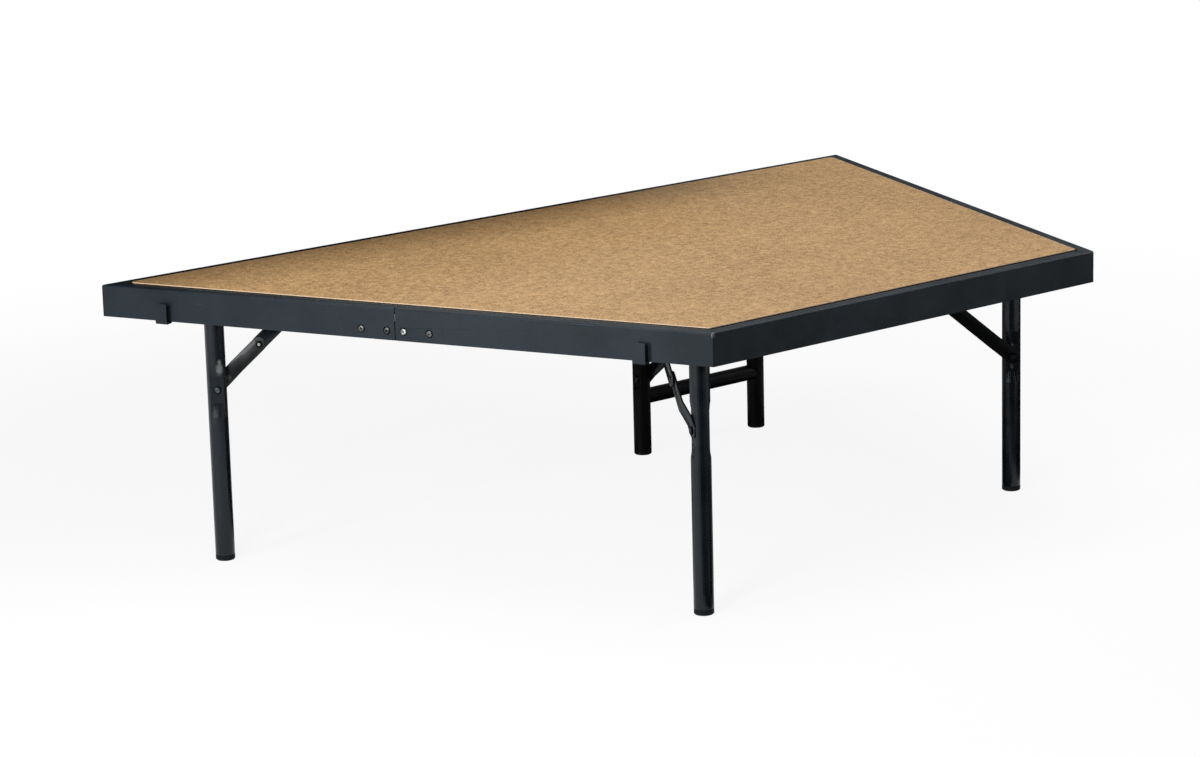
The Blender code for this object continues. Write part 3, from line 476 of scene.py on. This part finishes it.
def hardboard(name):
    """Tempered hardboard: short matted fibres, flecks, clouding, faint scuffs and a smooth oiled gloss."""
    made, tree, shader = start(name)
    here = coordinates(tree)
    lengthwise = coordinates(tree, (1.0, 2.6, 1.0), 0.25)
    clouds = noise(tree, here, scale=2.6, detail=4, roughness=0.55)
    mottle = noise(tree, here, scale=104, detail=4, roughness=0.62, distortion=0.6)
    fibres = noise(tree, lengthwise, scale=260, detail=4, roughness=0.65, distortion=1.2)
    tone = BOARD_TONE
    for pattern, amount in ((clouds, 0.30), (mottle, 0.98), (fibres, 2.4)):
        tone = plus(tree, tone, swing(tree, pattern, amount))
    base = blended(tree, tone, BOARD_DARK, BOARD_LIGHT)
    base = specked(tree, base, shade(BOARD_DARK, 0.42), 0.35, stretch=2.6, turn=0.4, scale=420,
                   span=(0.66, 0.74))
    base = specked(tree, base, BOARD_EDGE, 0.4, stretch=2.0, turn=0.1, scale=520, span=(0.67, 0.76))
    base = board_edges(tree, here, base)
    drawn = noise(tree, coordinates(tree, (0.25, 9, 1), -0.5), scale=16, roughness=0.7)
    patches = remap(tree, noise(tree, here, scale=5, detail=2), (0.5, 0.66))
    scuffs = times(tree, remap(tree, drawn, (0.63, 0.7)), patches)
    rough = remap(tree, mottle, (0.25, 0.75), (0.38, 0.50))
    fill(tree, shader, {
        "Base Color": blended(tree, times(tree, scuffs, 0.16), base, BOARD_EDGE),
        "Roughness": plus(tree, rough, times(tree, scuffs, 0.12)),
        "Specular IOR Level": 0.35,
        "Normal": bump(tree, plus(tree, fibres, times(tree, mottle, 1.5)), 0.00012, 0.35),
    })
    return made


def plywood(name):
    """Raw plywood: long grain on its faces, darker growth lines, and plies that show on its edges."""
    made, tree, shader = start(name)
    here = coordinates(tree)
    warp = noise(tree, coordinates(tree, (0.6, 3.0, 1.0)), scale=2.2, distortion=0.6)
    stretched = coordinates(tree, (0.35, 4.5, 1.0))
    growth = {"Vector": stretched, "Scale": 3.2, "Distortion": 5.5, "Detail": 3.0, "Detail Scale": 1.4}
    rings = make(tree, "ShaderNodeTexWave", growth, bands_direction="Y").outputs[1]
    pores = noise(tree, coordinates(tree, (1.0, 22.0, 1.0)), scale=60, detail=4, roughness=0.7)
    tone = plus(tree, times(tree, rings, 0.45), remap(tree, pores, NOISE_SPAN, (0.0, 0.4)))
    tone = plus(tree, tone, remap(tree, warp, NOISE_SPAN, (-0.1, 0.2)))
    base = blended(tree, remap(tree, tone, (0.0, 1.1)), PLY_LIGHT, PLY_DARK)
    plies = calc(tree, "SINE", times(tree, rise(tree, here), 2 * math.pi / PLY_PAIR))
    on_edge = remap(tree, levelness(tree), (0.6, 0.3))
    dark_plies = times(tree, on_edge, remap(tree, plies, (-0.3, 0.3)))
    fill(tree, shader, {
        "Base Color": blended(tree, dark_plies, base, PLY_DARK),
        "Roughness": remap(tree, pores, NOISE_SPAN, (0.62, 0.8)),
        "Specular IOR Level": 0.3,
        "Normal": bump(tree, pores, 0.0002, 0.5),
    })
    return made


def middle(name):
    low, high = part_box(name)
    return (low + high) / 2


def fold_axis(unit):
    """The axis on which a leg or the pair folds."""
    joint = next(row for row in frame["record"]["behaviour"]["joints"] if row["name"] == f"fold_{unit}")
    return Vector(joint["axis"])


def leg_rubs():
    """Where braces have rubbed the coat off a leg or themselves, as (place, size, strength)."""
    right = Vector((math.cos(CAMERA_YAW), math.sin(CAMERA_YAW), 0))
    towards = Vector((right.y, -right.x, 0))
    low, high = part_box("leg_tube_rear_left")
    radius = (high.x - low.x) / 2
    axis = (low + high) / 2
    flank = axis + right * radius * REAR_FLANK[0] + towards * radius * REAR_FLANK[1]
    marks = [((flank.x, flank.y, height), size, strength) for height, size, strength in REAR_LEG_RUBS]
    aside, height, size, strength = REAR_LINK_RUB
    link = axis + Vector(aside)
    marks.append(((link.x, link.y, height), size, strength))
    near = middle("leg_bolt_front_right") + towards * radius * FRONT_FLANK
    for above, size, strength in FRONT_LEG_RUBS:
        marks.append(((near.x, near.y, near.z + above), size, strength))
    return marks


def link_sheen_layout(unit):
    """Where the painted sheen lies on a lower link: its leg bolt, the way to its rivet and the way to its
    upper edge.
    """
    axis = fold_axis(unit)
    foot, end = middle(f"leg_bolt_{unit}"), middle(f"brace_rivet_{unit}")
    along = end - foot
    along = (along - axis * along.dot(axis)).normalized()
    across = axis.cross(along)
    if across.z < 0:
        across.negate()
    return foot, along, across


def frame_corners():
    """The deck's four outer corners, at the top of the frame."""
    (left, front, _), (right, _, top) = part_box("rail_short")
    (far_left, _, _), (far_right, back, _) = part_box("rail_long")
    return [(left, front, top), (right, front, top), (far_right, back, top), (far_left, back, top)]


def finishes():
    """Each material slot of the record and its material."""
    corners = frame_corners()
    near_x, near_y, top = corners[0]
    drop, size, strength = CORNER_RUB
    corner_rub = ((near_x, near_y, top - drop), size, strength)
    return {
        "black_frame": powder_coat("slate_powder_coat", FRAME_COLOUR, roughness=0.42, specular=0.22,
                                   peel=FRAME_PEEL, rubs=[corner_rub], mitres=corners),
        "black_leg": powder_coat("black_powder_coat", LEG_COLOUR, roughness=0.26, specular=0.36,
                                 peel=LEG_PEEL, rubs=leg_rubs()),
        "black_foot": moulded_plastic("foot_plastic", FOOT_COLOUR),
        "zinc": zinc_plate("zinc_plate"),
        "hardboard": hardboard("tempered_hardboard"),
        "plywood": plywood("raw_plywood"),
    }


def repaint(node, material):
    node.data.materials.clear()
    node.data.materials.append(material)


def weld(node):
    """Joins a CAD mesh's doubled vertices for the modifier that follows."""
    made = node.modifiers.new("weld", "WELD")
    made.merge_threshold = WELD_DISTANCE


def ease(node, width):
    """Rounds a CAD node's sharp edges; flat plate stays flat beside them, and curved links stay smooth."""
    curved = node.name.startswith(CURVED_NODES)
    if curved:
        for face in node.data.polygons:
            face.use_smooth = True
    weld(node)
    bevel = node.modifiers.new("eased_edges", "BEVEL")
    bevel.width = width
    bevel.segments = EASED_STEPS
    bevel.limit_method = "ANGLE"
    bevel.angle_limit = SHARP_ANGLE
    bevel.harden_normals = curved
    bevel.use_clamp_overlap = True


def dress(materials):
    """Gives every CAD node its slot's material, and rounds the edges of what is cut from plate."""
    for row in frame["record"]["subparts"]:
        node = frame["nodes"][row["node"]]
        repaint(node, materials[row["material_slot"]])
        width = next((w for beginning, w in EASED_EDGES if row["node"].startswith(beginning)), None)
        if width:
            ease(node, width)


def head_centre(node, outward):
    """The middle of the face of a bolt or screw that stands furthest out."""
    reach = max(v.co.dot(outward) for v in node.data.vertices)
    face = [v.co for v in node.data.vertices if reach - v.co.dot(outward) < FACE_TOLERANCE]
    return sum(face, Vector()) / len(face)


def rivets_and_bolts():
    """Dark rivets that are rubbed bright on their heads, and blackened leg bolts with a painted glint on
    their heads, bright only on the rear left bolt, and painted shade round it.
    """
    for unit in FOLDING_UNITS:
        axis = fold_axis(unit)
        rivet = frame["nodes"][f"brace_rivet_{unit}"]
        tip = head_centre(rivet, axis)
        repaint(rivet, head_wear_and_glint(f"rivet_{unit}", tip, axis, RIVET_BRIGHT, ZINC_COLOUR))
        bolt = frame["nodes"][f"leg_bolt_{unit}"]
        tip = head_centre(bolt, axis)
        oxide_and_glint = shade(OXIDE_COLOUR, PAINTED_BOLT_GLINT.get(unit, DIM_BOLT_GLINT))
        repaint(bolt, head_wear_and_glint(f"bolt_{unit}", tip, axis, BOLT_BRIGHT, oxide_and_glint))


def links_and_tubes_with_painted_light():
    """The rear left leg's lower link, in a lighter copy of the coat with a painted sheen, and the nodes
    with a darker dull copy of the coat, which paints shade onto them.
    """
    sheen_of_link = powder_coat("polished_link", LIT_LINK_COLOUR, roughness=0.34, specular=0.34, peel=FRAME_PEEL,
                           rubs=leg_rubs(), sheen_of_link=link_sheen_layout("rear_left"))
    repaint(frame["nodes"]["brace_lower_rear_left"], sheen_of_link)
    # a darker dull copy of the coat: painted shade on the pair's tubes and crossbar and on the front right
    # leg's brace
    shaded_coat = powder_coat("matt_powder_coat", SHADED_COAT_COLOUR, roughness=0.5, specular=0.12, peel=LEG_PEEL)
    for name in SHADED_COAT_NODES:
        repaint(frame["nodes"][name], shaded_coat)


def cross_cutter(name, turn):
    """Two crossed wedges about the origin, long above it and short below it."""
    bm = bmesh.new()
    for quarter in (0, math.radians(90)):
        made = bmesh.ops.create_cube(bm, size=1)["verts"]
        bmesh.ops.scale(bm, verts=made, vec=(RECESS_LENGTH, RECESS_WIDTH, RECESS_DEPTH * 2))
        for vert in made:
            if vert.co.z < 0:
                vert.co.x *= RECESS_TAPER
        bmesh.ops.rotate(bm, verts=made, matrix=Matrix.Rotation(quarter + turn, 3, "Z"))
    mesh = bpy.data.meshes.new(name)
    bm.to_mesh(mesh)
    bm.free()
    cutter = bpy.data.objects.new(name, mesh)
    bpy.context.scene.collection.objects.link(cutter)
    cutter.hide_render = True
    cutter.hide_viewport = True
    return cutter


def recessed_screws():
    """Cuts a cross recess into the head of each splice screw."""
    start_corner, end_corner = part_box("splice_screw_1")[0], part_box("splice_screw_4")[0]
    along = end_corner - start_corner
    along.z = 0
    along.normalize()
    outward = along.cross(Vector((0, 0, 1)))
    facing = outward.to_track_quat("Z", "Y").to_matrix().to_4x4()
    for number, (turn, shine) in enumerate(zip(SCREW_TURNS, PAINTED_SCREW_GLINT), 1):
        node = frame["nodes"][f"splice_screw_{number}"]
        tip = head_centre(node, outward)
        # a painted glint on each screw head, brighter on some screws than others, with painted shade round
        # and inside it
        repaint(node, head_wear_and_glint(f"screw_{number}", tip, outward, SCREW_BRIGHT, shade(ZINC_COLOUR, shine)))
        cutter = cross_cutter(f"screw_recess_{number}", turn)
        cutter.matrix_world = Matrix.Translation(tip) @ facing
        weld(node)
        recess = node.modifiers.new("recess", "BOOLEAN")
        recess.operation = "DIFFERENCE"
        recess.use_self = True
        recess.object = cutter


def seen_rays(tree):
    """1 for rays that show the background itself: straight, in reflections and through glass."""
    path = make(tree, "ShaderNodeLightPath")
    seen = larger(tree, path.outputs["Is Camera Ray"], path.outputs["Is Glossy Ray"])
    return larger(tree, seen, path.outputs["Is Transmission Ray"])


def floor_material():
    """A white floor that keeps a faint shadow and lights the underside of the part."""
    made, tree, shader = start("floor")
    seen = seen_rays(tree)
    grey, white = ((level, level, level) for level in (FLOOR_GREY, FLOOR_WHITE))
    fill(tree, shader, {
        "Base Color": blended(tree, seen, grey, white),
        "Roughness": FLOOR_ROUGHNESS,
        "Specular IOR Level": 0.0,
    })
    here = make(tree, "ShaderNodeTexCoord").outputs["Object"]
    plain = remap(tree, length(tree, here), (SHADOW_NEAR, SHADOW_FAR), (FLOOR_GLOW, 1.0))
    glow = make(tree, "ShaderNodeEmission", {"Color": (1, 1, 1, 1), "Strength": 1.0}).outputs[0]
    inputs = {0: times(tree, seen, plain), 1: shader.outputs[0], 2: glow}
    mix = make(tree, "ShaderNodeMixShader", inputs)
    tree.links.new(mix.outputs[0], tree.nodes["Material Output"].inputs["Surface"])
    return made


def dark_cloth():
    """The dull black of the curtain, of the panel and of the cards."""
    made, tree, shader = start("curtain")
    colour = (CURTAIN_GREY, CURTAIN_GREY, CURTAIN_GREY, 1)
    fill(tree, shader, {"Base Color": colour, "Roughness": 1.0, "Specular IOR Level": 0.0})
    return made


def backdrop():
    """The floor, a dark curtain round the deck and a panel over its far edge; returns their dark cloth."""
    bpy.ops.mesh.primitive_plane_add(size=FLOOR_SIZE, location=(0, 0, -FLOOR_DROP))
    floor = bpy.context.object
    floor.name = "studio_floor"
    floor.data.materials.append(floor_material())
    cloth = dark_cloth()
    bpy.ops.mesh.primitive_cylinder_add(vertices=CURTAIN_SIDES, radius=CURTAIN_RADIUS, depth=CURTAIN_HEIGHT,
                                        end_fill_type="NOTHING", location=(0, 0, CURTAIN_HEIGHT / 2))
    curtain = bpy.context.object
    curtain.name = "studio_curtain"
    curtain.visible_camera = False
    curtain.data.materials.append(cloth)
    bpy.ops.mesh.primitive_plane_add(size=1, location=(sum(DOOR_X) / 2, sum(DOOR_Y) / 2, DOOR_Z))
    door = bpy.context.object
    door.name = "studio_barn_door"
    door.scale = (DOOR_X[1] - DOOR_X[0], DOOR_Y[1] - DOOR_Y[0], 1)
    door.visible_camera = False
    door.data.materials.append(cloth)
    return cloth


def floor_cards(cloth):
    """Black cards on the floor that show in reflections and nowhere else: painted dark reflections, and
    under the deck a painted shade of the floor.
    """
    for number, corners in enumerate(CARDS, 1):
        mesh = bpy.data.meshes.new(f"studio_card_{number}")
        mesh.from_pydata([(x, y, CARD_HEIGHT) for x, y in corners], [], [range(len(corners))])
        mesh.materials.append(cloth)
        card = bpy.data.objects.new(mesh.name, mesh)
        bpy.context.scene.collection.objects.link(card)
        card.visible_camera = False
        card.visible_diffuse = False
        card.visible_shadow = False
        card.visible_transmission = False


def lamps():
    for name, place, aim, width, height, power in LAMPS:
        data = bpy.data.lights.new(name, "AREA")
        data.shape = "RECTANGLE"
        data.size = width
        data.size_y = height
        data.energy = power
        lamp = bpy.data.objects.new(name, data)
        lamp.location = place
        lamp.rotation_euler = (Vector(aim) - Vector(place)).to_track_quat("-Z", "Y").to_euler()
        bpy.context.scene.collection.objects.link(lamp)


def sky():
    """A sky that lights the part dimly and shows as white."""
    world = bpy.data.worlds.new("studio_sky")
    bpy.context.scene.world = world
    world.use_nodes = True
    tree = world.node_tree
    strength = remap(tree, seen_rays(tree), (0, 1), (SKY_LIGHT, SKY_SEEN))
    fill(tree, tree.nodes["Background"], {"Color": (1, 1, 1, 1), "Strength": strength})


def camera():
    """The photograph's camera, turned by its yaw, pitch and roll."""
    data = bpy.data.cameras.new("photo_camera")
    data.lens = CAMERA_LENS
    data.sensor_width = CAMERA_SENSOR
    data.sensor_fit = "HORIZONTAL"
    made = bpy.data.objects.new("photo_camera", data)
    bpy.context.scene.collection.objects.link(made)
    yaw = Matrix.Rotation(CAMERA_YAW, 4, "Z")
    level = Matrix.Rotation(math.radians(90) - CAMERA_PITCH, 4, "X")
    roll = Matrix.Rotation(CAMERA_ROLL, 4, "Z")
    made.matrix_world = Matrix.Translation(CAMERA_PLACE) @ yaw @ level @ roll
    bpy.context.scene.camera = made


def main():
    bpy.context.scene.view_settings.view_transform = "Standard"
    camera()
    floor_cards(backdrop())
    lamps()
    sky()
    dress(finishes())
    rivets_and_bolts()
    links_and_tubes_with_painted_light()
    recessed_screws()


main()
